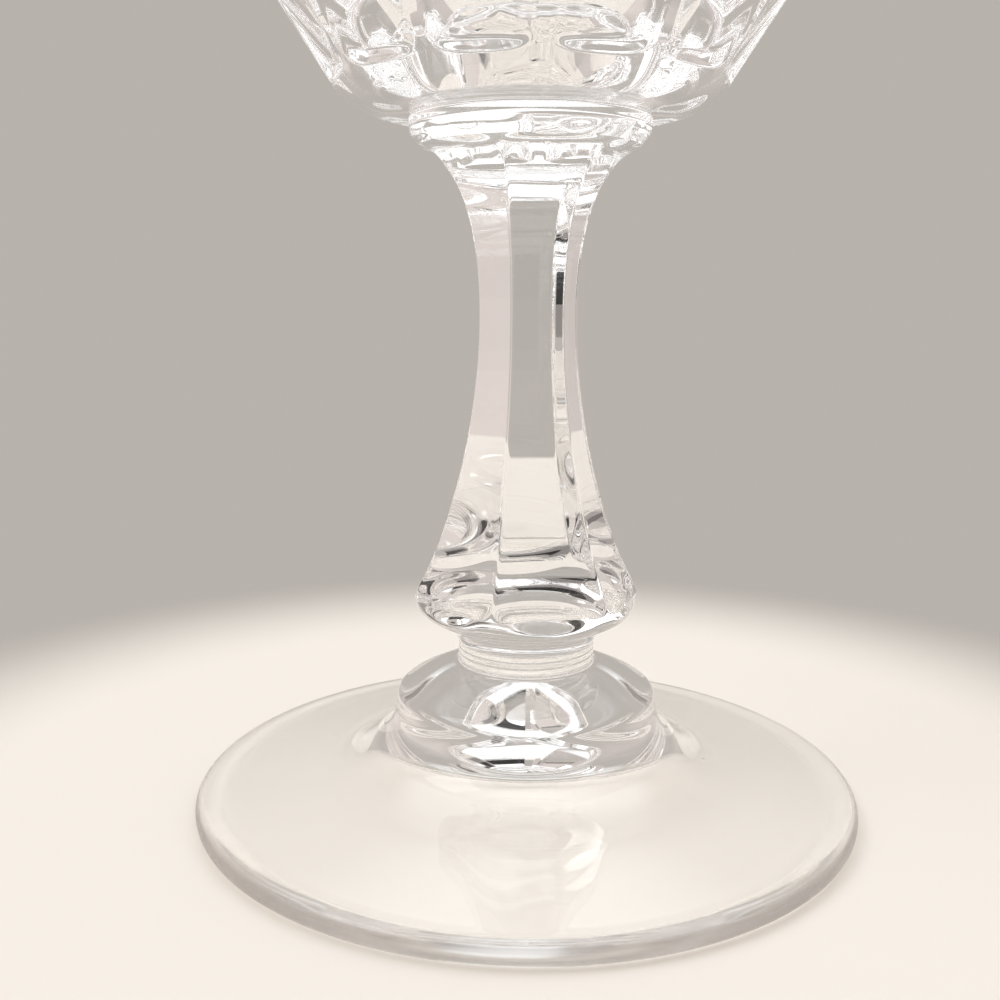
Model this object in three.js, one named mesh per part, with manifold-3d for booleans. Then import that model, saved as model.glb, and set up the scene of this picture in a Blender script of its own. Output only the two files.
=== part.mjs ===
// A crystal wine glass: a fluted bowl on a round collar, a six-sided baluster stem, a ringed neck,
// a button knop and a round foot. Each piece is fused to the next on a flat round seat.
// Millimetres, +Z up. The foot rests on z = 0 and the axis of the glass is the Z axis.
// Profiles are (radius, height) pairs. Angles are in degrees: 0 points outward and 90 upward.

import * as THREE from "three";
import { mergeVertices } from "three/addons/utils/BufferGeometryUtils.js";
import Module from "manifold-3d";

// Foot: a thin shallow cone with a rounded edge that sweeps up to an upright hub. Its underside is
// hollow up into the hub, so that the cone is a sheet of almost even thickness.
const footRadius = 35;
const footHeight = 11.4;
const footEdge = 2.6; // thickness behind the rounded edge
const edgeRounding = 1.6; // width of the rounding on the top of the edge
const coneInner = 21; // radius at which the cone turns up to the hub
const coneAngle = 9.6;
const creaseRadius = 14.4; // the crease between the cone's sweep and the hub
const creaseHeight = 9.1;
const creaseAngle = 126; // at which the sweep reaches the crease
const hubAngle = 106; // at which the hub leaves it
const restInner = 31.6; // the flat ring that the glass stands on
const restOuter = 33.6;
const sheetInner = 20.7; // from here to the ring the underside is parallel to the cone
const hollowHeight = 8.8; // height of the hollow at the middle
const hollowShoulder = [12, 5.8]; // the domed top of the hollow ends here
const hollowAngle = 32;
const hollowPulls = [0.36, 0.42];

// Knop: a solid low button on the hub, hollowed a little where it meets the neck
const knopRadius = 13.82;
const knopHeight = 4.1;
const shoulderAngle = 94; // hub and knop meet almost upright, just below the rounded shoulder
const domePulls = [0.16, 0.76]; // the dome is almost a cone, with a tight shoulder
const domeAngle = 158;
const neckCove = [1, 0.65]; // width and height of the hollow round the neck
const neckCoveAngle = 120;

// Neck: a short cylinder with fine turned rings
const neckRadius = 7.2;
const neckHeight = 1.9;
const neckRings = 3;
const ringDepth = 0.14;

// Stem: six faces, flat across and hollow along their length, cut on a turned blank
const stemLength = 50.7;
const faceCount = 6;
const skirtRadius = 11.85; // turned edge at the lower end
const skirtHeight = 5;
const skirtApothem = 11.08; // distance from the axis to a face
const skirtAngle = 177.3; // the faces kick out almost level into the skirt
const skirtPulls = [0.044, 0.512];
const underSkirtAngle = 72;
const waistApothem = 4.465;
const waistHeight = 34.1;
const capitalAngle = 2.4; // the faces open almost level into the capital
const capitalPulls = [0.364, 0.32]; // with these the faces bend evenly through the waist
const capitalReach = 1.9; // height of the turned cone below the collar
const capitalConeAngle = 58;
const capitalSpread = 0.15; // how far the faces open past the upper seat

// Collar: the round disc under the bowl
const collarRadius = 12.05;
const collarHeight = 2.9;
const collarSeat = 11; // radius of the seat on the stem
const collarRounding = 1.9; // height of the rounded lower part
const collarRoundingAngle = 48;
const collarLip = 0.4; // rounding of the upper edge

// Bowl: a tulip form with a rounded heel
const bowlHeight = 89;
const bowlRadius = 35;
const bellyHeight = 43; // height of the widest part above the collar
const rimRadius = 31.6;
const rimThickness = 1.7;
const rimAngle = 96;
const wallThickness = 3.4; // at the widest part, before cutting
const baseThickness = 5;
const floorPulls = [0.48, 0.41];
const heelFlat = 14.2; // radius of the flat underside, wider than the collar
const heelRadius = 6.5;
const heelAngle = 57;
const bowlTurn = 5; // a flute's middle against a face of the stem

// Flutes: upright hollow cuts from the heel to past the widest part of the bowl, with ribs between
const fluteCount = 12;
const fluteShare = 0.85; // of the way round, the rest is left as ribs
const fluteDepth = 1.15; // depth along the middle of a flute
const fluteStart = 5.9; // along the wall, from the flat underside
const fluteLength = 57;
const fluteSquareness = 3; // 2 cuts a round hollow, more a flatter one with steeper sides
const lowerArch = 2.2; // height of the wide rounded lower end
const upperArch = 11; // height of the arched upper end

// Fineness of the curves
const evenPulls = [0.42, 0.42]; // handles of a plain curve, as parts of its chord
const roundSteps = 48;
const blankSteps = 72;
const faceSteps = 16;
const fluteColumns = [-1, -0.7, -0.25, 0.25, 0.7, 1]; // parts of a flute's half width

const crystal = new THREE.MeshStandardMaterial({ color: 0xe9f0f2, roughness: 0.03, metalness: 0 });

const { degToRad } = THREE.MathUtils;
const wasm = await Module();
wasm.setup();

// A curve that leaves its start and arrives at its end at the given angles.
function sweep(start, leave, end, arrive, pulls = evenPulls) {
  const from = new THREE.Vector2(...start);
  const to = new THREE.Vector2(...end);
  const chord = from.distanceTo(to);
  const handle = (angle, pull) => new THREE.Vector2(
    pull * chord * Math.cos(degToRad(angle)),
    pull * chord * Math.sin(degToRad(angle)),
  );
  return new THREE.CubicBezierCurve(
    from, from.clone().add(handle(leave, pulls[0])), to.clone().sub(handle(arrive, pulls[1])), to,
  );
}

// A profile made of corner points and curves, in order, joined by straight lines.
function profile(parts, curveSteps) {
  const points = parts.flatMap((part) => (
    Array.isArray(part) ? new THREE.Vector2(...part) : part.getPoints(curveSteps)
  ));
  return points.filter((point, k) => k === 0 || point.distanceTo(points[k - 1]) > 1e-6);
}

// A profile turned about the Z axis. The first column of points is at -Y.
function turned(points, steps) {
  const geometry = new THREE.LatheGeometry(points, steps);
  geometry.rotateX(Math.PI / 2);
  return geometry;
}

function solid(geometry) {
  geometry.deleteAttribute("normal");
  geometry.deleteAttribute("uv");
  const merged = mergeVertices(geometry, 1e-3);
  return new wasm.Manifold(new wasm.Mesh({
    numProp: 3,
    vertProperties: Float32Array.from(merged.attributes.position.array),
    triVerts: Uint32Array.from(merged.index.array),
  }));
}

function geometryOf(body) {
  const mesh = body.getMesh();
  const geometry = new THREE.BufferGeometry();
  geometry.setAttribute("position", new THREE.BufferAttribute(mesh.vertProperties, 3));
  geometry.setIndex(new THREE.BufferAttribute(mesh.triVerts, 1));
  return geometry;
}

function footShape() {
  const edgeMiddle = [footRadius, footEdge / 2];
  const coneOuter = footRadius - edgeRounding;
  const slope = Math.tan(degToRad(coneAngle));
  const coneTop = footEdge + (coneOuter - coneInner) * slope;
  const sheetEnd = [sheetInner, (restInner - sheetInner) * slope];
  const crease = [creaseRadius, creaseHeight];
  const parts = [
    sweep([0, hollowHeight], 0, hollowShoulder, -hollowAngle, hollowPulls),
    sweep(hollowShoulder, -hollowAngle, sheetEnd, -coneAngle),
    [restInner, 0],
    sweep([restOuter, 0], 0, edgeMiddle, 90),
    sweep(edgeMiddle, 90, [coneOuter, footEdge], 180 - coneAngle),
    sweep([coneInner, coneTop], 180 - coneAngle, crease, creaseAngle),
    sweep(crease, hubAngle, [knopRadius, footHeight], shoulderAngle),
    [0, footHeight],
  ];
  return turned(profile(parts, 4), roundSteps);
}

function knopShape() {
  const domeEnd = [neckRadius + neckCove[0], knopHeight - neckCove[1]];
  const parts = [
    [0, 0],
    sweep([knopRadius, 0], shoulderAngle, domeEnd, domeAngle, domePulls),
    sweep(domeEnd, domeAngle, [neckRadius, knopHeight], neckCoveAngle),
    [0, knopHeight],
  ];
  return turned(profile(parts, 6), roundSteps);
}

function neckShape() {
  const ring = neckHeight / neckRings;
  const groove = neckRadius - ringDepth;
  const rings = Array.from({ length: neckRings }, (_, k) => (
    sweep([groove, k * ring], 45, [groove, (k + 1) * ring], 135)
  ));
  return turned(profile([[0, 0], ...rings, [0, neckHeight]], 3), roundSteps);
}

// The middle line of a face, below and above the waist.
function faceLines() {
  const waist = [waistApothem, waistHeight];
  const capital = [collarSeat + capitalSpread, stemLength];
  return [
    sweep([skirtApothem, skirtHeight], skirtAngle, waist, 90, skirtPulls),
    sweep(waist, 90, capital, capitalAngle, capitalPulls),
  ];
}

// The turned blank: a rounded skirt over the neck, and a cone under the collar that starts
// where the arrises between the faces reach it.
function stemBlank() {
  const [, upperLine] = faceLines();
  const arrisEnd = upperLine.getPoints(faceSteps).find((point) => point.y > stemLength - capitalReach);
  const arrisRadius = arrisEnd.x / Math.cos(Math.PI / faceCount);
  const coneStart = [arrisRadius, arrisEnd.y];
  return [
    [0, 0],
    sweep([neckRadius, 0], underSkirtAngle, [skirtRadius, skirtHeight], 90),
    [skirtRadius, arrisEnd.y - capitalSpread],
    sweep(coneStart, capitalConeAngle, [collarSeat, stemLength], 90 - capitalConeAngle),
    [0, stemLength],
  ];
}

// Three slabs, each with a pair of opposite faces, are crossed on the blank.
function stemShape() {
  const overrun = 1;
  const side = profile([
    [skirtApothem, -overrun],
    ...faceLines(),
    [collarSeat + capitalSpread, stemLength + overrun],
  ], faceSteps);
  const otherSide = side.map((point) => new THREE.Vector2(-point.x, point.y)).reverse();
  const outline = new THREE.Shape([...side, ...otherSide]);
  const slabDepth = 4 * skirtRadius;

  let body = solid(turned(profile(stemBlank(), 6), blankSteps));
  for (let k = 0; k < faceCount / 2; k += 1) {
    const slab = new THREE.ExtrudeGeometry(outline, { depth: slabDepth, bevelEnabled: false });
    slab.translate(0, 0, -slabDepth / 2);
    slab.rotateX(Math.PI / 2);
    slab.rotateZ(Math.PI / 2 + (k * 2 * Math.PI) / faceCount);
    body = body.intersect(solid(slab));
  }
  return geometryOf(body);
}

function collarShape() {
  const parts = [
    [0, 0],
    sweep([collarSeat, 0], collarRoundingAngle, [collarRadius, collarRounding], 90),
    sweep([collarRadius, collarHeight - collarLip], 90, [collarRadius - collarLip, collarHeight], 180),
    [0, collarHeight],
  ];
  return turned(profile(parts, 3), roundSteps);
}

// The uncut outer wall from the flat underside to the rim.
function bowlWall() {
  const turn = degToRad(heelAngle - 90);
  const heelEnd = [heelFlat + heelRadius * Math.cos(turn), heelRadius + heelRadius * Math.sin(turn)];
  const belly = [bowlRadius, bellyHeight];
  const wall = new THREE.CurvePath();
  wall.add(new THREE.EllipseCurve(heelFlat, heelRadius, heelRadius, heelRadius, -Math.PI / 2, turn));
  wall.add(sweep(heelEnd, heelAngle, belly, 90));
  wall.add(sweep(belly, 90, [rimRadius, bowlHeight - rimThickness / 2], rimAngle));
  return wall;
}

// The rounded rim and the inner wall, down to the middle of the floor.
function bowlCavity() {
  const rimHeight = bowlHeight - rimThickness / 2;
  const lip = rimThickness / 2;
  const innerBelly = [bowlRadius - wallThickness, bellyHeight];
  return [
    new THREE.EllipseCurve(rimRadius - lip, rimHeight, lip, lip, 0, Math.PI),
    sweep([rimRadius - rimThickness, rimHeight], rimAngle - 180, innerBelly, -90),
    sweep(innerBelly, -90, [0, baseThickness], 180, floorPulls),
  ];
}

// Depth of the cut at a distance along the wall. Across is 0 in the middle of a flute and 1 at its
// edge. The depth falls off to both ends, so that they come out as arches, and is nothing on a rib.
function fluteCut(distance, across) {
  const below = Math.max(0, fluteStart + lowerArch - distance) / lowerArch;
  const above = Math.max(0, distance - fluteStart - fluteLength + upperArch) / upperArch;
  const fall = Math.abs(across) ** fluteSquareness + below ** fluteSquareness + above * above;
  return Math.max(0, fluteDepth * (1 - fall));
}

function spread(from, to, count) {
  return Array.from({ length: count }, (_, k) => from + ((to - from) * k) / count);
}

// The bowl is turned, its columns of points are set to the flutes, and every point of its outer wall
// is moved in by the depth of the cut there.
function bowlShape() {
  const wall = bowlWall();
  const length = wall.getLength();
  const runStart = fluteStart + lowerArch;
  const fluteEnd = fluteStart + fluteLength;
  const runEnd = fluteEnd - upperArch;
  const stations = [
    ...spread(0, fluteStart, 3),
    ...spread(fluteStart, runStart, 4),
    ...spread(runStart, runEnd, 8),
    ...spread(runEnd, fluteEnd, 6),
    ...spread(fluteEnd, length, 4),
  ];
  const outer = stations.map((distance) => wall.getPoint(distance / length));
  const along = stations.map((distance) => wall.getTangent(distance / length));
  const points = [new THREE.Vector2(0, 0), ...outer, ...profile(bowlCavity(), 6)];

  const columns = fluteCount * fluteColumns.length;
  const pitch = 360 / fluteCount;
  const geometry = turned(points, columns);
  const position = geometry.attributes.position;
  for (let column = 0; column <= columns; column += 1) {
    const across = fluteColumns[column % fluteColumns.length];
    const middle = bowlTurn + pitch * Math.floor(column / fluteColumns.length);
    const angle = degToRad(middle + (across * fluteShare * pitch) / 2);
    points.forEach((point, k) => {
      const station = k - 1; // the first point is the middle of the underside
      const cut = station in stations ? fluteCut(stations[station], across) : 0;
      const radius = cut > 0 ? point.x - cut * along[station].y : point.x;
      const height = cut > 0 ? point.y + cut * along[station].x : point.y;
      const index = column * points.length + k;
      position.setXYZ(index, radius * Math.sin(angle), -radius * Math.cos(angle), height);
    });
  }
  return geometry;
}

const knopLevel = footHeight;
const neckLevel = knopLevel + knopHeight;
const stemLevel = neckLevel + neckHeight;
const collarLevel = stemLevel + stemLength;
const bowlLevel = collarLevel + collarHeight;

const glass = new THREE.Group();
glass.name = "wine_glass";

function place(name, geometry, level) {
  const mesh = new THREE.Mesh(geometry, crystal);
  mesh.name = name;
  mesh.position.z = level;
  glass.add(mesh);
}

place("foot", footShape(), 0);
place("knop", knopShape(), knopLevel);
place("neck_ring", neckShape(), neckLevel);
place("stem", stemShape(), stemLevel);
place("bowl_collar", collarShape(), collarLevel);
place("bowl", bowlShape(), bowlLevel);

export default glass;
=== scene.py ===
# %% [markdown]
# # A crystal wine glass
# The glass is six pieces of clear crystal, fused hot one on the next: a foot, a button knop, a
# ringed neck, a six-sided stem, a collar and a fluted bowl. The frame brings them in as plain
# faceted solids. Here every piece is made again as a fine smooth mesh in the same place, because
# clear glass shows nothing but its curves: each facet of a coarse mesh would bend the light in a
# visible step.

# %% Load the frame
import math

import bpy
import numpy as np
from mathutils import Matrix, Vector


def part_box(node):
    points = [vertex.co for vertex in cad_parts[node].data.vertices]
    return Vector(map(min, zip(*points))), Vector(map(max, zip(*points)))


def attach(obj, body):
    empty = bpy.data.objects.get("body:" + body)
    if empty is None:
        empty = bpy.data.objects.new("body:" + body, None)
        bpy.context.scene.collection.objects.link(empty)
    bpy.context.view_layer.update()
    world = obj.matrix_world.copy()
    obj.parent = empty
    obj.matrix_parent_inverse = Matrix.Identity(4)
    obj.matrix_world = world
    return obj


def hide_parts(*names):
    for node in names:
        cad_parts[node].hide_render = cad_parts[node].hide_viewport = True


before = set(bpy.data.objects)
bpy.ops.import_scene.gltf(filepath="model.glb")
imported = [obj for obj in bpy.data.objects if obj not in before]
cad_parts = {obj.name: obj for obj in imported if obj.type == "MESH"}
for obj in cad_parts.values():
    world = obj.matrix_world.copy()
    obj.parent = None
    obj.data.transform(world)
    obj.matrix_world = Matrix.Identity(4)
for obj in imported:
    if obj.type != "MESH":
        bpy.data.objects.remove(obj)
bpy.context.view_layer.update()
MM = 0.001
LEVEL = {node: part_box(node)[0][2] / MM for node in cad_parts}
HEIGHT = {node: (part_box(node)[1][2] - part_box(node)[0][2]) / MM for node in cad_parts}
RADIUS = {node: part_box(node)[1][0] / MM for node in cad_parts}
for node, level in sorted(LEVEL.items(), key=lambda item: item[1]):
    print(f"{node}: {level:.1f} mm up, {HEIGHT[node]:.1f} mm tall, radius {RADIUS[node]:.2f} mm")

# %% [markdown]
# ## The camera
# The picture was taken from close by, a little above the middle of the stem, looking slightly down.
# The place below comes from the ellipses of the foot, knop and collar: only one distance, height
# and tilt gives all of them their drawn shapes. The camera stands a little to the left of a stem
# face. A camera without rotation looks straight down, so its tilt is counted from 90 degrees.

# %% Camera
CAMERA_DISTANCE = 120.3
CAMERA_HEIGHT = 54.1
CAMERA_AZIMUTH = -13.0
CAMERA_PITCH = -10.25
CAMERA_YAW = 1.40
CAMERA_ROLL = -0.22
CAMERA_LENS = 41.92
CAMERA_SENSOR = 36.0
NEAR_CLIP = 5.0
camera_turn = math.radians(CAMERA_AZIMUTH)
TO_CAMERA = np.array([math.sin(camera_turn), -math.cos(camera_turn), 0.0])
TO_RIGHT = np.array([math.cos(camera_turn), math.sin(camera_turn), 0.0])


def new_object(name, data):
    """An object in the scene, with the given camera or mesh."""
    made = bpy.data.objects.new(name, data)
    bpy.context.scene.collection.objects.link(made)
    return made


camera = new_object("camera", bpy.data.cameras.new("camera"))
camera.data.sensor_width = CAMERA_SENSOR
camera.data.lens = CAMERA_LENS
camera.data.clip_start = NEAR_CLIP * MM
camera.location = CAMERA_DISTANCE * MM * TO_CAMERA + np.array([0.0, 0.0, CAMERA_HEIGHT * MM])
camera.rotation_euler = (
    math.radians(90 + CAMERA_PITCH),
    math.radians(CAMERA_ROLL),
    math.radians(CAMERA_AZIMUTH + CAMERA_YAW),
)
bpy.context.scene.camera = camera
print("camera at", [round(c / MM, 1) for c in camera.location], "mm")

# %% [markdown]
# ## Drawing with profiles
# Turned glass is described by its profile: pairs of a radius and a height, in millimetres. It could
# be drawn by hand as a curve object, but written as numbers it can be measured and changed. A
# `sweep` is a Bezier curve between two points that leaves and arrives at given angles, with 0
# pointing outward and 90 upward. A `profile` strings straight stretches and sweeps together.

# %% Profile helpers
EVEN_PULLS = (0.42, 0.42)
SAME_POINT = 1e-6


def heading(angle):
    """The direction at an angle in degrees."""
    return np.array([math.cos(math.radians(angle)), math.sin(math.radians(angle))])


def sweep(start, leave, end, arrive, pulls=EVEN_PULLS, steps=24):
    """Points of a curve from start to end. The pulls are its handles as parts of the chord."""
    start, end = np.array(start, float), np.array(end, float)
    chord = np.linalg.norm(end - start)
    first = start + pulls[0] * chord * heading(leave)
    last = end - pulls[1] * chord * heading(arrive)
    t = np.linspace(0, 1, steps + 1)[:, None]
    return (
        (1 - t) ** 3 * start + 3 * t * (1 - t) ** 2 * first
        + 3 * t**2 * (1 - t) * last + t**3 * end
    )


def line(start, end, steps=6):
    """Points of a straight stretch."""
    t = np.linspace(0, 1, steps + 1)[:, None]
    return (1 - t) * np.array(start, float) + t * np.array(end, float)


def profile(*parts):
    """One list of points, with doubled points at the joins left out."""
    points = np.vstack(parts)
    keep = np.r_[True, np.linalg.norm(np.diff(points, axis=0), axis=1) > SAME_POINT]
    return points[keep]


print("a sweep has", len(sweep((1, 0), 90, (0, 1), 180)), "points unless it is told otherwise")

# %% [markdown]
# ## From rings to a closed mesh
# Every piece is a stack of rings, closed by a fan at each end. A Screw modifier could turn the
# round pieces, but the stem and the bowl aren't round, and this way one function makes all six.
# Where two pieces are fused, real glass has no surface at all, so the fans that lie on a seat get a
# second, fully clear material: light then passes from piece to piece as it does in one body of
# glass, and each piece is still a closed mesh.

# %% Ring meshes
SEAT_SLOT = 1
SHARP_ANGLE = math.radians(32)


def around(angles, radius, height):
    """Points at angles counted from -Y towards +X. The radius may differ from angle to angle."""
    radius = np.broadcast_to(radius, angles.shape)
    height = np.broadcast_to(height, angles.shape)
    return np.stack([radius * np.sin(angles), -radius * np.cos(angles), height], axis=-1)


def ring_piece(name, node, rings, seat_below, seat_above):
    """A closed mesh object that stands for a CAD node, from rings given bottom first."""
    rings = np.asarray(rings)
    rows, columns, _ = rings.shape
    middle = [[0, 0, rings[0, 0, 2]], [0, 0, rings[-1, 0, 2]]]
    points = np.vstack([rings.reshape(-1, 3), middle]) * MM
    points[:, 2] += LEVEL[node] * MM
    index = np.arange(rows * columns).reshape(rows, columns)
    beside = np.roll(index, -1, axis=1)
    quads = np.stack([index[:-1], beside[:-1], beside[1:], index[1:]], axis=-1).reshape(-1, 4)
    low_fan = [(rows * columns, b, a) for a, b in zip(index[0], beside[0])]
    high_fan = [(rows * columns + 1, a, b) for a, b in zip(index[-1], beside[-1])]
    mesh = bpy.data.meshes.new(name)
    mesh.from_pydata(points.tolist(), [], quads.tolist() + low_fan + high_fan)
    mesh.polygons.foreach_set("use_smooth", [True] * len(mesh.polygons))
    fan_slots = [SEAT_SLOT * seat_below] * columns + [SEAT_SLOT * seat_above] * columns
    mesh.polygons.foreach_set("material_index", [0] * len(quads) + fan_slots)
    mesh.set_sharp_from_angle(angle=SHARP_ANGLE)
    piece = new_object(name, mesh)
    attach(piece, "root")
    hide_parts(node)
    print(f"{name}: {rows} rings of {columns} points")
    return piece


def turned_piece(name, node, points, seat_below=True, seat_above=True, columns=160):
    """A piece that is round all the way, from its profile."""
    angles = np.linspace(0, 2 * math.pi, columns, endpoint=False)
    rings = [around(angles, radius, height) for radius, height in points]
    return ring_piece(name, node, rings, seat_below, seat_above)


# %% [markdown]
# ## The foot
# The foot is a thin cone with a rounded edge that sweeps up to an upright hub. Below it is hollow,
# up into the hub, so the cone is a sheet of almost even thickness: one looks straight through it at
# the floor, while the thick hub and the knop bend the light. The domed top of the hollow works like
# a mirror inside the glass, and shows as the bright lens in the middle of the knop. A Solidify
# modifier could give the sheet its thickness, but the hollow has a shape of its own, so one profile
# runs round both sides. It starts almost on the axis, and the fan closes the rest.

# %% Foot
FOOT_EDGE = 2.6
EDGE_ROUNDING = 1.6
CONE_INNER = 21.0
CONE_ANGLE = 9.6
HUB_BASE = (14.15, 9.3)
HUB_ANGLE = 108.0
SHOULDER_ANGLE = 94.0
REST_INNER = 31.6
REST_OUTER = 33.6
SHEET_INNER = 20.7
HOLLOW_HEIGHT = 9.15
HOLLOW_SHOULDER = (12.0, 5.8)
HOLLOW_ANGLE = 32.0
HOLLOW_PULLS = (0.1, 0.25)
AXIS = 0.05
FINE_COLUMNS = 240


def hollow_profile():
    """The underside, from the middle of the hollow to the ring that the glass stands on."""
    sheet_end = (SHEET_INNER, (REST_INNER - SHEET_INNER) * math.tan(math.radians(CONE_ANGLE)))
    return profile(
        sweep((AXIS, HOLLOW_HEIGHT), 0, HOLLOW_SHOULDER, -HOLLOW_ANGLE, HOLLOW_PULLS, steps=60),
        sweep(HOLLOW_SHOULDER, -HOLLOW_ANGLE, sheet_end, -CONE_ANGLE, steps=40),
        line(sheet_end, (REST_INNER, 0), steps=12),
        line((REST_INNER, 0), (REST_OUTER, 0)),
    )


def foot_profile():
    radius = RADIUS["foot"]
    edge_middle = (radius, FOOT_EDGE / 2)
    cone_outer = (radius - EDGE_ROUNDING, FOOT_EDGE)
    cone_rise = (cone_outer[0] - CONE_INNER) * math.tan(math.radians(CONE_ANGLE))
    cone_inner = (CONE_INNER, FOOT_EDGE + cone_rise)
    hub_top = (RADIUS["knop"], HEIGHT["foot"])
    return profile(
        hollow_profile(),
        sweep((REST_OUTER, 0), 0, edge_middle, 90),
        sweep(edge_middle, 90, cone_outer, 180 - CONE_ANGLE),
        line(cone_outer, cone_inner, steps=16),
        sweep(cone_inner, 180 - CONE_ANGLE, HUB_BASE, HUB_ANGLE, steps=40),
        sweep(HUB_BASE, HUB_ANGLE, hub_top, SHOULDER_ANGLE, steps=16),
    )


foot = turned_piece("glass_foot", "foot", foot_profile(), seat_below=False, columns=FINE_COLUMNS)

# %% [markdown]
# ## The knop and the neck
# The knop is a solid low button on the hub: almost a cone, with a tight rounded shoulder, hollowed
# a little round the neck. The neck is a short cylinder with three fine rings. A bump could draw
# such rings, but glass shows their real bend, so they are turned. Each ring is flat with rounded
# sides, so that only the narrow grooves between them show, as a few thin lines.

# %% Knop and neck
DOME_ANGLE = 158.0
DOME_PULLS = (0.16, 0.76)
NECK_COVE = (1.0, 0.65)
NECK_COVE_ANGLE = 120.0
NECK_RADIUS = 7.2
NECK_RINGS = 3
RING_DEPTH = 0.14
GROOVE_REACH = 0.16
GROOVE_ANGLE = 25.0


def knop_profile():
    radius, height = RADIUS["knop"], HEIGHT["knop"]
    dome_end = (NECK_RADIUS + NECK_COVE[0], height - NECK_COVE[1])
    return profile(
        sweep((radius, 0), SHOULDER_ANGLE, dome_end, DOME_ANGLE, DOME_PULLS, steps=64),
        sweep(dome_end, DOME_ANGLE, (NECK_RADIUS, height), NECK_COVE_ANGLE, steps=12),
        line((NECK_RADIUS, height), (NECK_RADIUS - RING_DEPTH, height), steps=1),
    )


def neck_profile():
    ring = HEIGHT["neck_ring"] / NECK_RINGS
    groove = NECK_RADIUS - RING_DEPTH
    parts = []
    for low in ring * np.arange(NECK_RINGS):
        land = (NECK_RADIUS, low + GROOVE_REACH), (NECK_RADIUS, low + ring - GROOVE_REACH)
        parts += [sweep((groove, low), GROOVE_ANGLE, land[0], 90, steps=8), line(*land)]
        parts += [sweep(land[1], 90, (groove, low + ring), 180 - GROOVE_ANGLE, steps=8)]
    return profile(*parts)


knop = turned_piece("glass_knop", "knop", knop_profile(), columns=FINE_COLUMNS)
neck = turned_piece("glass_neck", "neck_ring", neck_profile())

# %% [markdown]
# ## The stem
# The stem is the showpiece. It starts as a turned blank, with a rounded skirt below and a small
# cone above, and has six faces cut on it, flat across and hollow along their length. Boolean
# cutters could do that too, but they leave long thin faces that look cracked in clear glass. So the
# surface is computed on an even grid: at a given height and angle it lies at the smaller of two
# radii, that of the six-sided outline and that of the blank. Where one takes over from the other
# the edge comes out as a row of scallops by itself. A smooth minimum rounds that edge, as the fire
# polish does, and the six corners are small arcs.

# %% Stem faces and blank
FACE_COUNT = 6
SKIRT_RADIUS = 11.85
SKIRT_HEIGHT = 5.0
SKIRT_APOTHEM = 11.08
SKIRT_ANGLE = 177.3
SKIRT_PULLS = (0.044, 0.512)
UNDER_SKIRT_ANGLE = 72.0
WAIST_APOTHEM = 4.465
WAIST_HEIGHT = 34.1
CAPITAL_ANGLE = 2.4
CAPITAL_PULLS = (0.364, 0.32)
CAPITAL_REACH = 1.9
CAPITAL_CONE_ANGLE = 58.0
CAPITAL_SPREAD = 0.15
COLLAR_SEAT = 11.0
HALF_FACE = math.pi / FACE_COUNT


def face_distance(heights):
    """Distance from the axis to a face's middle line."""
    length = HEIGHT["stem"]
    waist = (WAIST_APOTHEM, WAIST_HEIGHT)
    capital = (COLLAR_SEAT + CAPITAL_SPREAD, length)
    curve = profile(
        line((SKIRT_APOTHEM, 0), (SKIRT_APOTHEM, SKIRT_HEIGHT)),
        sweep((SKIRT_APOTHEM, SKIRT_HEIGHT), SKIRT_ANGLE, waist, 90, SKIRT_PULLS, steps=400),
        sweep(waist, 90, capital, CAPITAL_ANGLE, CAPITAL_PULLS, steps=400),
    )
    return np.interp(heights, curve[:, 1], curve[:, 0])


def blank_radius(heights):
    """Radius of the blank, with the rounded underside of the skirt and the cone of the capital."""
    length = HEIGHT["stem"]
    cone_low = length - CAPITAL_REACH
    cone_radius = float(face_distance(cone_low)) / math.cos(HALF_FACE)
    skirt_top = (SKIRT_RADIUS, SKIRT_HEIGHT)
    skirt = sweep((NECK_RADIUS, 0), UNDER_SKIRT_ANGLE, skirt_top, 90, steps=200)
    cone = sweep(
        (cone_radius, cone_low), CAPITAL_CONE_ANGLE,
        (COLLAR_SEAT, length), 90 - CAPITAL_CONE_ANGLE, steps=200,
    )
    radius = np.full(heights.shape, SKIRT_RADIUS)
    under_skirt = np.interp(heights, skirt[:, 1], skirt[:, 0])
    radius = np.where(heights < SKIRT_HEIGHT, under_skirt, radius)
    return np.where(heights > cone_low, np.interp(heights, cone[:, 1], cone[:, 0]), radius)


print(f"stem: {2 * WAIST_APOTHEM:.1f} mm across its faces at the waist")

# %% Stem mesh
ARRIS_RADIUS = 0.35
SCALLOP_ROUNDING = 0.5
FACE_COLUMNS = 28
SKIRT_ZONE = 8.0
CAPITAL_ZONE = 6.0
STEM_RINGS = (90, 70, 70)


def smooth_min(a, b, reach):
    """The smaller of two values, blended over the reach where they are close."""
    overlap = np.clip(reach - np.abs(a - b), 0, None) / reach
    return np.minimum(a, b) - overlap**2 * reach / 4


def six_sided(apothem, off_face):
    """Radius of a six-sided outline with rounded corners, at an angle off the middle of a face."""
    flat_end = np.arctan((apothem - ARRIS_RADIUS) * math.tan(HALF_FACE) / apothem)
    off_corner = HALF_FACE - np.abs(off_face)
    corner = (apothem - ARRIS_RADIUS) / math.cos(HALF_FACE)
    chord = np.sqrt(np.clip(ARRIS_RADIUS**2 - (corner * np.sin(off_corner)) ** 2, 0, None))
    rounded = corner * np.cos(off_corner) + chord
    return np.where(np.abs(off_face) < flat_end, apothem / np.cos(off_face), rounded)


def stations(bounds, counts):
    """Rising values, with a given count of them from each bound to the next."""
    parts = [np.linspace(*ends) for ends in zip(bounds, bounds[1:], counts)]
    return np.unique(np.concatenate(parts))


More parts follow.
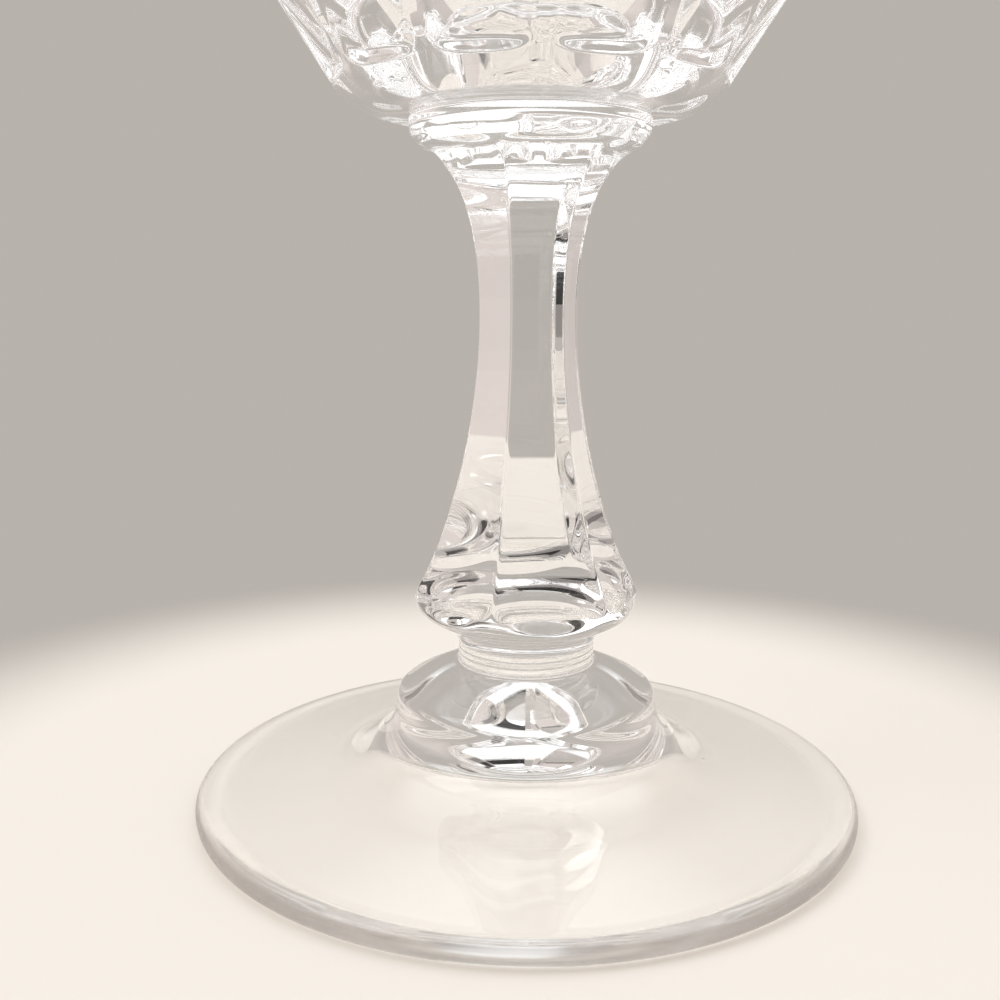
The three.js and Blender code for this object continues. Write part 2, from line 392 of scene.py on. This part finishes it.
def stem_rings():
    length = HEIGHT["stem"]
    heights = stations((0, SKIRT_ZONE, length - CAPITAL_ZONE, length), STEM_RINGS)
    across = np.sin(np.linspace(-1, 1, FACE_COLUMNS, endpoint=False) * math.pi / 2) * HALF_FACE
    faces = 2 * HALF_FACE * np.arange(FACE_COUNT)
    angles = (faces[:, None] + across[None, :]).ravel()
    off_face = np.tile(across, FACE_COUNT)
    apothems, blanks = face_distance(heights), blank_radius(heights)
    return [
        around(angles, smooth_min(six_sided(apothem, off_face), blank, SCALLOP_ROUNDING), height)
        for height, apothem, blank in zip(heights, apothems, blanks)
    ]


stem = ring_piece("glass_stem", "stem", stem_rings(), True, True)

# %% [markdown]
# ## The collar
# A round disc between stem and bowl, turned as the foot is. A Bevel modifier could round a plain
# disc, but here the rounding below is far wider than the one above, so both are in the profile. The
# upper edge is rounded off just under the bowl, so a fine dark line runs all round there.

# %% Collar
COLLAR_ROUNDING = 1.9
COLLAR_ROUNDING_ANGLE = 48.0
COLLAR_LIP = 0.4


def collar_profile():
    radius, height = RADIUS["bowl_collar"], HEIGHT["bowl_collar"]
    return profile(
        sweep((COLLAR_SEAT, 0), COLLAR_ROUNDING_ANGLE, (radius, COLLAR_ROUNDING), 90),
        line((radius, COLLAR_ROUNDING), (radius, height - COLLAR_LIP)),
        sweep((radius, height - COLLAR_LIP), 90, (radius - COLLAR_LIP, height), 180, steps=10),
    )


collar = turned_piece("glass_collar", "bowl_collar", collar_profile())

# %% [markdown]
# ## The bowl
# The bowl is a tulip with a thick floor. Twelve upright flutes are sunk in its outside, from the
# heel to past the widest part, with narrow ribs left between them. A flute is deepest in the
# middle, steep at its sides, and runs out in an arch at both ends. A Displace modifier could sink
# them, but it needs a picture or a texture for the depth, and a formula says it more exactly. So
# the wall is laid out first, and each of its points is then moved in, square to the wall, by the
# depth of the flute there. A smooth maximum takes the last sharpness off the edges, as polishing
# does.

# %% Bowl wall
BOWL_RADIUS = 35.0
BELLY_HEIGHT = 43.0
RIM_RADIUS = 31.6
RIM_THICKNESS = 1.7
RIM_ANGLE = 96.0
RIM_POINTS = 15
WALL_THICKNESS = 3.4
BASE_THICKNESS = 5.0
BOWL_FLOOR_PULLS = (0.48, 0.41)
HEEL_FLAT = 14.2
HEEL_RADIUS = 6.5
HEEL_ANGLE = 57.0
HEEL_POINTS = 60


def bowl_wall():
    """The uncut outside, from the edge of the collar to the rim."""
    turn = np.radians(np.linspace(-90, HEEL_ANGLE - 90, HEEL_POINTS))
    out, up = HEEL_FLAT + HEEL_RADIUS * np.cos(turn), HEEL_RADIUS * (1 + np.sin(turn))
    heel = np.stack([out, up], axis=1)
    belly = (BOWL_RADIUS, BELLY_HEIGHT)
    rim = (RIM_RADIUS, HEIGHT["bowl"] - RIM_THICKNESS / 2)
    return profile(
        heel,
        sweep(tuple(heel[-1]), HEEL_ANGLE, belly, 90, steps=300),
        sweep(belly, 90, rim, RIM_ANGLE, steps=300),
    )


def bowl_inside():
    """The rounded rim, then the inner wall down to the middle of the floor."""
    lip = RIM_THICKNESS / 2
    turn = np.linspace(0, math.pi, RIM_POINTS)
    out, up = RIM_RADIUS - lip + lip * np.cos(turn), HEIGHT["bowl"] - lip + lip * np.sin(turn)
    rim = np.stack([out, up], axis=1)
    belly = (BOWL_RADIUS - WALL_THICKNESS, BELLY_HEIGHT)
    return profile(
        rim,
        sweep(tuple(rim[-1]), RIM_ANGLE - 180, belly, -90, steps=24),
        sweep(belly, -90, (AXIS, BASE_THICKNESS), 180, BOWL_FLOOR_PULLS, steps=48),
    )


print("bowl:", len(bowl_wall()), "points outside,", len(bowl_inside()), "inside")

# %% Flutes
FLUTE_COUNT = 12
FLUTE_SHARE = 0.85
FLUTE_DEPTH = 1.15
FLUTE_START = 5.9
FLUTE_LENGTH = 57.0
FLUTE_SQUARENESS = 3
LOWER_ARCH = 2.2
UPPER_ARCH = 11.0
EDGE_POLISH = 0.16


def flute_depth(distance, across):
    """Depth of the cut at a distance along the wall. Across is 0 in a flute's middle."""
    below = np.clip(FLUTE_START + LOWER_ARCH - distance, 0, None) / LOWER_ARCH
    above = np.clip(distance - FLUTE_START - FLUTE_LENGTH + UPPER_ARCH, 0, None) / UPPER_ARCH
    fall = np.abs(across) ** FLUTE_SQUARENESS + below**FLUTE_SQUARENESS + above**2
    cut = FLUTE_DEPTH * (1 - fall)
    return -smooth_min(-cut, np.zeros_like(cut), EDGE_POLISH)


halfway = FLUTE_START + FLUTE_LENGTH / 2
print(f"flutes: {flute_depth(halfway, np.zeros(1))[0]:.2f} mm deep halfway up")

# %% Bowl mesh
BOWL_TURN = math.radians(5)
FLUTE_COLUMNS = 28
ARCH_MARGIN = 1
WALL_RINGS = (84, 36, 56, 20)
BASE_RINGS = 7
COLLAR_TOP = RADIUS["bowl_collar"] - COLLAR_LIP


def bowl_rings():
    wall = bowl_wall()
    along = np.r_[0, np.cumsum(np.linalg.norm(np.diff(wall, axis=0), axis=1))]
    arch_top = FLUTE_START + LOWER_ARCH + ARCH_MARGIN
    flute_end = FLUTE_START + FLUTE_LENGTH
    bounds = (0, arch_top, flute_end - UPPER_ARCH, flute_end + ARCH_MARGIN, along[-1])
    distances = stations(bounds, WALL_RINGS)
    outer = np.stack([np.interp(distances, along, wall[:, k]) for k in (0, 1)], axis=1)
    tangent = np.gradient(outer, distances, axis=0)
    tangent /= np.linalg.norm(tangent, axis=1, keepdims=True)

    half_pitch = math.pi / FLUTE_COUNT
    across = np.linspace(-1, 1, FLUTE_COLUMNS, endpoint=False) / FLUTE_SHARE
    middles = BOWL_TURN + 2 * half_pitch * np.arange(FLUTE_COUNT)
    angles = (middles[:, None] + half_pitch * FLUTE_SHARE * across[None, :]).ravel()
    across = np.tile(across, FLUTE_COUNT)

    base = np.linspace(COLLAR_TOP, HEEL_FLAT, BASE_RINGS, endpoint=False)
    rings = [around(angles, radius, 0.0) for radius in base]
    for distance, (radius, height), (out, up) in zip(distances, outer, tangent):
        cut = flute_depth(distance, across)
        rings.append(around(angles, radius - cut * up, height + cut * out))
    rings += [around(angles, radius, height) for radius, height in bowl_inside()[1:]]
    return rings


bowl = ring_piece("glass_bowl", "bowl", bowl_rings(), True, False)

# %% [markdown]
# ## Building with nodes
# Materials are networks of nodes, and writing each node and link by hand takes many lines. These
# helpers take most of them away: each makes one node, and gives its sockets a number, a color or a
# link from another socket.


# %% Node helpers
def feed(tree, socket, value):
    """Link a value that is a socket to this one, or else set it."""
    if isinstance(value, bpy.types.NodeSocket):
        tree.links.new(value, socket)
    else:
        socket.default_value = value


def add(tree, kind, **settings):
    """A node with its settings, each a property of it or what one of its sockets is fed."""
    node = tree.nodes.new(kind)
    for name, value in settings.items():
        if hasattr(node, name):
            setattr(node, name, value)
        else:
            feed(tree, node.inputs[name.replace("_", " ")], value)
    return node


def maths(tree, operation, first, second=0.0):
    """The output of a Math node on two values or sockets."""
    node = add(tree, "ShaderNodeMath", operation=operation)
    feed(tree, node.inputs[0], first)
    feed(tree, node.inputs[1], second)
    return node.outputs[0]


def remap(tree, value, low, high, at_low=0.0, at_high=1.0, curve="LINEAR"):
    """The output of a Map Range node, which goes from at_low to at_high between low and high."""
    node = add(
        tree, "ShaderNodeMapRange", interpolation_type=curve, Value=value,
        From_Min=low, From_Max=high, To_Min=at_low, To_Max=at_high,
    )
    return node.outputs["Result"]


def soft_step(tree, value, low, high):
    """0 below low, 1 above high and a smooth rise between."""
    return remap(tree, value, low, high, curve="SMOOTHSTEP")


def blend(tree, factor, first, second):
    """The output of a color mix. First and second are colors or sockets."""
    node = add(tree, "ShaderNodeMix", data_type="RGBA", Factor=factor, A=first, B=second)
    return node.outputs["Result"]


def object_place(tree):
    """The socket with the place on the object, in metres."""
    return tree.nodes.new("ShaderNodeTexCoord").outputs["Object"]


# %% [markdown]
# ## How crystal departs from perfect
# What keeps clear glass from looking computed is its surface: a faint ripple left by the mould and
# the fire polish, and a few fine pits. All three finishes of this glass have it, so it is a shader
# group, made once and placed in each material with its own values. The group puts out a height for
# a Bump node. Modelling such fine marks would take millions of faces.

# %% Fire polish group
RIPPLE_DETAIL = 1.5
PIT_WIDTH = 0.06


def new_group(name, inputs, output):
    """A shader group with number sockets: the group, its inputs, and the socket to put out."""
    group = bpy.data.node_groups.new(name, "ShaderNodeTree")
    kind = "NodeSocketFloat"
    for socket, default in inputs.items():
        made = group.interface.new_socket(name=socket, in_out="INPUT", socket_type=kind)
        made.default_value = default
    group.interface.new_socket(name=output, in_out="OUTPUT", socket_type=kind)
    entry = group.nodes.new("NodeGroupInput")
    leave = group.nodes.new("NodeGroupOutput")
    return group, entry.outputs, leave.inputs[output]


def fire_polish_group():
    """Height in metres of the ripple and the pits of a polished surface."""
    inputs = {"Ripple Scale": 90.0, "Ripple Height": 6e-6, "Pit Scale": 160.0, "Pit Depth": 1e-5}
    group, given, height = new_group("fire_polish", inputs, "Height")
    place = object_place(group)
    ripple = add(
        group, "ShaderNodeTexNoise",
        Vector=place, Scale=given["Ripple Scale"], Detail=RIPPLE_DETAIL,
    )
    pits = add(group, "ShaderNodeTexVoronoi", Vector=place, Scale=given["Pit Scale"])
    pit = remap(group, pits.outputs["Distance"], 0.0, PIT_WIDTH, -1.0, 0.0)
    rise = maths(group, "MULTIPLY", ripple.outputs[0], given["Ripple Height"])
    sink = maths(group, "MULTIPLY", pit, given["Pit Depth"])
    group.links.new(maths(group, "ADD", rise, sink), height)
    return group


FIRE_POLISH = fire_polish_group()
print("group:", FIRE_POLISH.name, "with", len(FIRE_POLISH.nodes), "nodes")

# %% [markdown]
# A second group gives the roughness: almost none, with faint touch marks, and wear on the ring that
# the glass stands on. A stretched noise would do for wiped streaks. This glass was only held, so
# the noise is the same in all directions, and only its highest parts count as marks.

# %% Handling group
MARK_SCALE = 70.0
MARK_DETAIL = 4.0
MARK_START = 0.55
MARK_FULL = 0.75
WORN_BELOW = 0.05
WORN_TO = 0.2


def handling_group():
    """Roughness with faint touch marks, and wear where the glass stands on the floor."""
    inputs = {"Polish": 0.0, "Touch": 0.02, "Rest Wear": 0.0}
    group, given, roughness = new_group("handling", inputs, "Roughness")
    place = object_place(group)
    smear = add(group, "ShaderNodeTexNoise", Vector=place, Scale=MARK_SCALE, Detail=MARK_DETAIL)
    mark = remap(group, smear.outputs[0], MARK_START, MARK_FULL)
    height = add(group, "ShaderNodeSeparateXYZ", Vector=place).outputs["Z"]
    near_floor = remap(group, height, WORN_BELOW * MM, WORN_TO * MM, 1.0, 0.0)
    touched = maths(group, "MULTIPLY", mark, given["Touch"])
    worn = maths(group, "MULTIPLY", near_floor, given["Rest Wear"])
    total = maths(group, "ADD", maths(group, "ADD", touched, worn), given["Polish"])
    group.links.new(total, roughness)
    return group


HANDLING = handling_group()
print("group:", HANDLING.name, "with", len(HANDLING.nodes), "nodes")

# %% [markdown]
# ## Crystal
# Clear crystal is a Principled shader with full transmission and a high index of refraction. A
# Glass shader would look alike, but other programs read the Principled one better. The three
# finishes share the groups with values of their own: the pressed stem ripples most, the turned
# pieces least.
#
# The foot's outer edge is a case of its own. There one looks into the thin sheet along its length,
# and the edge shows the shadowed floor under it and the dark room by the camera as a soft grey
# band, with a little of crystal's own tint over centimetres of glass. A shader without absorption
# shows white streaks there instead. So the turned finish is greyed there, which is painted shade,
# and blurred, in a band that is found by its distance from the axis. Of the turned pieces only the
# foot reaches that far out.

# %% Crystal material
CRYSTAL_COLOR = (0.997, 0.998, 0.997, 1.0)
CRYSTAL_INDEX = 1.545
# The edge color is painted shade on the foot's rim, with a little of crystal's own tint in it.
EDGE_SHADE_COLOR = (0.60, 0.58, 0.56, 1.0)
EDGE_START = 34.4
EDGE_FULL = 34.95


def new_material(name):
    """A material with the usual nodes, its node tree and its Principled shader."""
    material = bpy.data.materials.new(name)
    material.use_nodes = True
    return material, material.node_tree, material.node_tree.nodes["Principled BSDF"]


def edge_shade_and_blur_mask(tree):
    """1 at the outer edge of the foot, where its shade is painted grey and its surface blurred."""
    place = add(tree, "ShaderNodeSeparateXYZ", Vector=object_place(tree))
    squares = [maths(tree, "POWER", place.outputs[axis], 2.0) for axis in "XY"]
    reach = maths(tree, "SQRT", maths(tree, "ADD", *squares))
    return soft_step(tree, reach, EDGE_START * MM, EDGE_FULL * MM)


def crystal(name, ripple, touch, rest_wear=0.0, painted_shade_edge_blur=0.0):
    """A clear crystal with a ripple of the given height, touch marks and perhaps a grey edge of
    painted shade.
    """
    material, tree, shader = new_material(name)
    shader.inputs["Base Color"].default_value = CRYSTAL_COLOR
    shader.inputs["IOR"].default_value = CRYSTAL_INDEX
    shader.inputs["Transmission Weight"].default_value = 1.0
    surface = add(tree, "ShaderNodeGroup", node_tree=FIRE_POLISH, Ripple_Height=ripple)
    bump = add(tree, "ShaderNodeBump", Height=surface.outputs["Height"], Distance=1.0)
    tree.links.new(bump.outputs["Normal"], shader.inputs["Normal"])
    handled = add(
        tree, "ShaderNodeGroup", node_tree=HANDLING, Touch=touch, Rest_Wear=rest_wear,
    )
    tree.links.new(handled.outputs["Roughness"], shader.inputs["Roughness"])
    if painted_shade_edge_blur:
        edge = edge_shade_and_blur_mask(tree)
        # Painted shade: the foot's edge is mixed towards grey here.
        tree.links.new(blend(tree, edge, CRYSTAL_COLOR, EDGE_SHADE_COLOR), shader.inputs["Base Color"])
        tree.links.new(maths(tree, "MULTIPLY", edge, painted_shade_edge_blur), handled.inputs["Polish"])
    return material


steepest = math.degrees(math.asin(1 / CRYSTAL_INDEX))
print(f"light that meets the surface from inside at more than {steepest:.1f} degrees stays inside")

# %% [markdown]
# The seats where two pieces are fused get no surface at all: a shader with an alpha of 0 lets all
# light through. Every piece takes its finish in the first slot and the clear seat in the second,
# and tells the frame which finish it wears.

# %% Dressing the pieces
FUSED_SEAT, _, seat_shader = new_material("fused_seat")
seat_shader.inputs["Alpha"].default_value = 0.0
FINISHES = {
    # The turned finish paints grey shade on the foot's edge and blurs it there.
    "turned_crystal": dict(ripple=2e-6, touch=0.015, rest_wear=0.06, painted_shade_edge_blur=0.25),
    "pressed_crystal": dict(ripple=7e-6, touch=0.015),
    "cut_crystal": dict(ripple=3e-6, touch=0.02),
}
WEARERS = {
    "turned_crystal": [foot, knop, neck, collar],
    "pressed_crystal": [stem],
    "cut_crystal": [bowl],
}
for slot_name, values in FINISHES.items():
    finish = crystal(slot_name, **values)
    for piece in WEARERS[slot_name]:
        piece.data.materials.append(finish)
        piece.data.materials.append(FUSED_SEAT)
    print(slot_name, "on", [piece.name for piece in WEARERS[slot_name]])

# %% [markdown]
# ## The tent
# Glass shows what is round it, so the surroundings matter as much as the glass. They are a plain
# tent: grey paper behind the glass and round the camera, a pale warm cloth on the right and a
# greyer one on the left. The two cloths give the side faces of the stem their different tones. The
# tent could be built of sheets, but glass can't tell how far away they are, so it is only a color
# for each direction from the glass. The far floor and the world both take it.

# %% Tent
BACKDROP = (0.48, 0.447, 0.412, 1.0)
RIGHT_CLOTH = (0.74, 0.66, 0.62, 1.0)
LEFT_CLOTH = (0.62, 0.55, 0.52, 1.0)
PAPER_SPAN = (32.0, 8.0)
FRONT_SPAN = (45.0, 10.0)
LEFT_SPAN = (60.0, 8.0)
NEARLY_UPRIGHT = 0.001


def within(tree, way, middle, half, soft):
    """1 for directions up to half a width from an angle round the glass, in degrees from -Y."""
    swing = math.radians(middle)
    side = maths(tree, "MULTIPLY", way.outputs["X"], math.sin(swing))
    front = maths(tree, "MULTIPLY", way.outputs["Y"], -math.cos(swing))
    rest = maths(tree, "SUBTRACT", 1.0, maths(tree, "POWER", way.outputs["Z"], 2.0))
    level = maths(tree, "MAXIMUM", maths(tree, "SQRT", rest), NEARLY_UPRIGHT)
    facing = maths(tree, "DIVIDE", maths(tree, "ADD", side, front), level)
    outer, inner = math.radians(half + soft), math.radians(half - soft)
    return soft_step(tree, facing, math.cos(outer), math.cos(inner))


def tent_color(tree, way):
    """The color of the tent in a direction, which is given as a node with its X, Y and Z."""
    paper = within(tree, way, CAMERA_AZIMUTH + 180, *PAPER_SPAN)
    front = within(tree, way, CAMERA_AZIMUTH, *FRONT_SPAN)
    left = within(tree, way, CAMERA_AZIMUTH - 90, *LEFT_SPAN)
    cloth = blend(tree, left, RIGHT_CLOTH, LEFT_CLOTH)
    return blend(tree, maths(tree, "MAXIMUM", paper, front), cloth, BACKDROP)


paper_width, front_width = 2 * PAPER_SPAN[0], 2 * FRONT_SPAN[0]
print(f"tent: paper over {paper_width:.0f} degrees behind the glass and {front_width:.0f} in front")

# %% [markdown]
# ## The floor
# The floor is pale round the foot and goes over to the backdrop's grey further out, like paper that
# is swept up behind a product, so no horizon shows. To the camera that change is soft. In the glass
# it is sharp, and it draws the clear step across the stem's front. The Light Path node tells the
# two apart.

# %% Floor paper
PALE_FLOOR = (0.91, 0.868, 0.808, 1.0)
PAPER_ROUGHNESS = 0.9
FADE_START = 60.0
FADE_END = 100.0
STEP_START = 93.0
STEP_END = 97.0


def show_mix(tree, factor, first, second):
    """Show the first shader where the factor is 0 and the second where it is 1."""
    both = add(tree, "ShaderNodeMixShader", Fac=factor)
    tree.links.new(first, both.inputs[1])
    tree.links.new(second, both.inputs[2])
    tree.links.new(both.outputs["Shader"], tree.nodes["Material Output"].inputs["Surface"])


def floor_material():
    """Paper that scatters light near the glass, and glows in the color of the tent further out."""
    material, tree, paper = new_material("paper_floor")
    paper.inputs["Base Color"].default_value = PALE_FLOOR
    paper.inputs["Roughness"].default_value = PAPER_ROUGHNESS
    paper.inputs["Specular IOR Level"].default_value = 0.0
    place = object_place(tree)
    straight = add(tree, "ShaderNodeVectorMath", operation="NORMALIZE", Vector=place)
    way = add(tree, "ShaderNodeSeparateXYZ", Vector=straight.outputs["Vector"])
    rays = tree.nodes.new("ShaderNodeLightPath").outputs
    far = blend(tree, rays["Is Camera Ray"], tent_color(tree, way), BACKDROP)
    glow = add(tree, "ShaderNodeEmission", Color=far)

    reach = add(tree, "ShaderNodeVectorMath", operation="LENGTH", Vector=place).outputs["Value"]
    faded = soft_step(tree, reach, FADE_START * MM, FADE_END * MM)
    past_step = soft_step(tree, reach, STEP_START * MM, STEP_END * MM)
    glass_rays = maths(tree, "MAXIMUM", rays["Is Glossy Ray"], rays["Is Transmission Ray"])
    to_camera = maths(tree, "MULTIPLY", rays["Is Camera Ray"], faded)
    to_glass = maths(tree, "MULTIPLY", glass_rays, past_step)
    glowing = maths(tree, "MAXIMUM", to_camera, to_glass)
    show_mix(tree, glowing, paper.outputs["BSDF"], glow.outputs["Emission"])
    return material


FLOOR_PAPER = floor_material()
print("paper:", FLOOR_PAPER.name, "with", len(FLOOR_PAPER.node_tree.nodes), "nodes")

# %% Floor disc
FLOOR_GAP = 0.05
FLOOR_RADIUS = 3000.0
FLOOR_CORNERS = 96

angles = np.linspace(0, 2 * math.pi, FLOOR_CORNERS, endpoint=False)
corners = around(angles, FLOOR_RADIUS, -FLOOR_GAP) * MM
floor_mesh = bpy.data.meshes.new("floor")
floor_mesh.from_pydata(corners.tolist(), [], [list(range(FLOOR_CORNERS))])
floor_mesh.materials.append(FLOOR_PAPER)
floor = new_object("floor", floor_mesh)
print("floor", [round(size, 2) for size in floor.dimensions], "m")

# %% [markdown]
# ## The light
# The world is the tent with a bright ceiling over it and one soft lamp panel on the left, which
# sets the highlights on the foot's edge. Area lamps could do the same, but glass would show their
# hard edges, while the edges of a color in the world can be as soft as one likes. Whoever looks
# past the glass sees plain grey all round: cloths, ceiling and lamp only show in the glass, and
# light the floor.

# %% World
CEILING = 1.3
CEILING_START = 38.0
CEILING_FULL = 50.0
LAMP = 3.0
LAMP_AZIMUTH = -90.0
LAMP_SPAN = (24.0, 3.0)
LAMP_LOW = 42.0
LAMP_HIGH = 64.0
LAMP_SOFT = 2.0


def grey(level):
    return (level, level, level, 1.0)


def studio_world():
    world = bpy.data.worlds.new("studio")
    world.use_nodes = True
    bpy.context.scene.world = world
    tree = world.node_tree
    direction = tree.nodes.new("ShaderNodeTexCoord").outputs["Generated"]
    way = add(tree, "ShaderNodeSeparateXYZ", Vector=direction)
    rise = maths(tree, "DEGREES", maths(tree, "ARCSINE", way.outputs["Z"]))

    overhead = soft_step(tree, rise, CEILING_START, CEILING_FULL)
    roofed = blend(tree, overhead, tent_color(tree, way), grey(CEILING))
    above_low = soft_step(tree, rise, LAMP_LOW - LAMP_SOFT, LAMP_LOW + LAMP_SOFT)
    above_high = soft_step(tree, rise, LAMP_HIGH - LAMP_SOFT, LAMP_HIGH + LAMP_SOFT)
    belt = maths(tree, "SUBTRACT", above_low, above_high)
    panel = maths(tree, "MULTIPLY", belt, within(tree, way, LAMP_AZIMUTH, *LAMP_SPAN))
    lit = blend(tree, panel, roofed, grey(LAMP))
    rays = tree.nodes.new("ShaderNodeLightPath").outputs
    seen = blend(tree, rays["Is Camera Ray"], lit, BACKDROP)
    tree.links.new(seen, tree.nodes["Background"].inputs["Color"])
    return world


world = studio_world()
print("world", world.name, "with", len(world.node_tree.nodes), "nodes")

# %% [markdown]
# ## The dark card
# Photographers hang a black card by the lens when they shoot glass: it draws dark lines into the
# clear edges and makes them crisp. This card hangs right behind the camera, from the floor to well
# above it. Its lower part is only grey, because a black that comes down to the floor draws hard
# strokes into the knop. The card is there only for light that has been reflected in the glass.
# Everything else passes through it, so it hides nothing and shades nothing, whatever the view.

# %% Card material
CARD_BLACK = 0.02
CARD_GREY = (0.27, 0.245, 0.235, 1.0)
BLACK_FROM = 69.0
BLACK_FULL = 71.0


def card_material():
    """Dark for light that was reflected at least once, and clear for all other."""
    material, tree, _ = new_material("black_card")
    height = add(tree, "ShaderNodeSeparateXYZ", Vector=object_place(tree)).outputs["Z"]
    upper = soft_step(tree, height, BLACK_FROM * MM, BLACK_FULL * MM)
    shade = blend(tree, upper, CARD_GREY, grey(CARD_BLACK))
    dark = add(tree, "ShaderNodeEmission", Color=shade)
    clear = add(tree, "ShaderNodeBsdfTransparent")
    reflections = tree.nodes.new("ShaderNodeLightPath").outputs["Glossy Depth"]
    reflected = maths(tree, "MINIMUM", reflections, 1.0)
    show_mix(tree, reflected, clear.outputs["BSDF"], dark.outputs["Emission"])
    return material


CARD_PAINT = card_material()
print("paint:", CARD_PAINT.name, "with", len(CARD_PAINT.node_tree.nodes), "nodes")

# %% Card
CARD_BEHIND = 15.0
CARD_HALF_WIDTH = 80.0
CARD_LOW = 3.0
CARD_HIGH = 200.0


def card_corner(side, height):
    """A corner in millimetres, aside from the middle and up from the floor."""
    middle = TO_CAMERA * (CAMERA_DISTANCE + CARD_BEHIND)
    return middle + TO_RIGHT * side + np.array([0.0, 0.0, height])


card_corners = np.array([
    card_corner(-CARD_HALF_WIDTH, CARD_LOW), card_corner(CARD_HALF_WIDTH, CARD_LOW),
    card_corner(CARD_HALF_WIDTH, CARD_HIGH), card_corner(-CARD_HALF_WIDTH, CARD_HIGH),
])
card_mesh = bpy.data.meshes.new("card")
card_mesh.from_pydata((card_corners * MM).tolist(), [], [(0, 1, 2, 3)])
card_mesh.materials.append(CARD_PAINT)
card = new_object("card", card_mesh)
print("card", [round(size / MM, 1) for size in card.dimensions], "mm")

# %% [markdown]
# ## Last settings
# Light crosses many surfaces in a glass like this one, so the path tracer is allowed more bounces
# than usual: with fewer, the thick parts fill with black arcs. Very bright stray light is clamped,
# which keeps the picture free of white specks. Filter Glossy is off, because it would blur what
# shows in the glass.

# %% Render settings
GLASS_BOUNCES = 96
CLEAR_BOUNCES = 32
STRAY_LIGHT = 6.0

scene = bpy.context.scene
scene.view_settings.view_transform = "Standard"
scene.cycles.max_bounces = GLASS_BOUNCES
scene.cycles.transmission_bounces = GLASS_BOUNCES
scene.cycles.glossy_bounces = GLASS_BOUNCES
scene.cycles.transparent_max_bounces = CLEAR_BOUNCES
scene.cycles.sample_clamp_indirect = STRAY_LIGHT
scene.cycles.blur_glossy = 0.0
bpy.context.view_layer.update()
